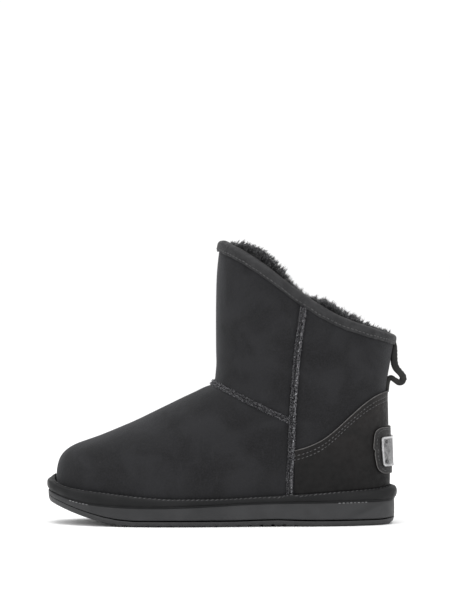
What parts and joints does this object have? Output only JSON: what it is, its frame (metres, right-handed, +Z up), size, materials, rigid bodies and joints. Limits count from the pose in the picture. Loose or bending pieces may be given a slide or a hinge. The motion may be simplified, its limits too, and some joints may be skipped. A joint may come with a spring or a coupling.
{
  "type": "sheepskin ankle boot",
  "caption": "Pull-on sheepskin ankle boot with a slanted bound collar, fleece inside, leather heel counter, heel patch, pull loop and a tall layered flat sole. Left foot.",
  "frame": {"origin": "on the ground plane, under the middle of the boot's box", "axes": "-X to the toe, +X to the heel, +Z up, -Y to the wearer's left, which is the outer side of this left boot"},
  "size_m": [0.2722, 0.0992, 0.2143],
  "materials": {
    "outsole_rubber": "satin",
    "sole_foam": "satin",
    "fleece": "matte",
    "suede": "matte",
    "smooth_leather": "satin",
    "pewter": "satin"
  },
  "bodies": {
    "root": {"outsole": "outsole_rubber", "midsole": "sole_foam", "rim_band": "sole_foam", "insole": "fleece", "upper": "suede", "heel_counter": "smooth_leather", "collar_binding": "smooth_leather", "pull_loop": "smooth_leather", "heel_patch": "smooth_leather", "heel_plate": "pewter"}
  },
  "joints": []
}
